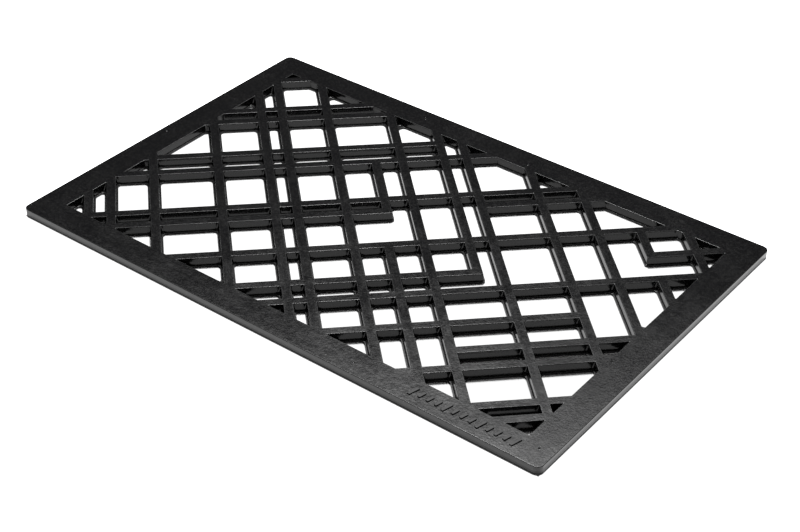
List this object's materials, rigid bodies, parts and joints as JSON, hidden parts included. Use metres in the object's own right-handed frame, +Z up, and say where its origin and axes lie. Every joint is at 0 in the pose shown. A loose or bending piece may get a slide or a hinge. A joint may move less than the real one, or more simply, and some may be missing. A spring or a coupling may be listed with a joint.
{
  "type": "door mat",
  "caption": "Flat open lattice rubber door mat: plain border with rounded corners round an irregular grid of diagonal bars with openings through to the floor.",
  "frame": {"origin": "on the floor under the middle of the mat", "axes": "+X along the long side, -Y towards the front rail with the raised ticks, +Z up"},
  "size_m": [0.9, 0.6, 0.0155],
  "materials": {
    "rail_rubber": "matt black moulded rubber with a low sheen",
    "rising_bar_rubber": "matt black moulded rubber",
    "falling_bar_rubber": "matt black moulded rubber"
  },
  "bodies": {
    "root": {"rising_01": "rising_bar_rubber", "rising_02": "rising_bar_rubber", "rising_03": "rising_bar_rubber", "rising_04": "rising_bar_rubber", "rising_05": "rising_bar_rubber", "rising_06": "rising_bar_rubber", "rising_07": "rising_bar_rubber", "rising_08": "rising_bar_rubber", "rising_09": "rising_bar_rubber", "rising_10": "rising_bar_rubber", "rising_11": "rising_bar_rubber", "rising_12": "rising_bar_rubber", "rising_13": "rising_bar_rubber", "rising_14": "rising_bar_rubber", "rising_15": "rising_bar_rubber", "rising_16": "rising_bar_rubber", "rising_17": "rising_bar_rubber", "falling_01": "falling_bar_rubber", "falling_02": "falling_bar_rubber", "falling_03": "falling_bar_rubber", "falling_04": "falling_bar_rubber", "falling_05": "falling_bar_rubber", "falling_06": "falling_bar_rubber", "falling_07": "falling_bar_rubber", "falling_08": "falling_bar_rubber", "falling_09": "falling_bar_rubber", "falling_10": "falling_bar_rubber", "falling_11": "falling_bar_rubber", "falling_12": "falling_bar_rubber", "falling_13": "falling_bar_rubber", "falling_14": "falling_bar_rubber", "falling_15": "falling_bar_rubber", "falling_16": "falling_bar_rubber", "falling_17": "falling_bar_rubber", "rail_front": "rail_rubber", "rail_right": "rail_rubber", "rail_back": "rail_rubber", "rail_left": "rail_rubber"}
  },
  "joints": []
}
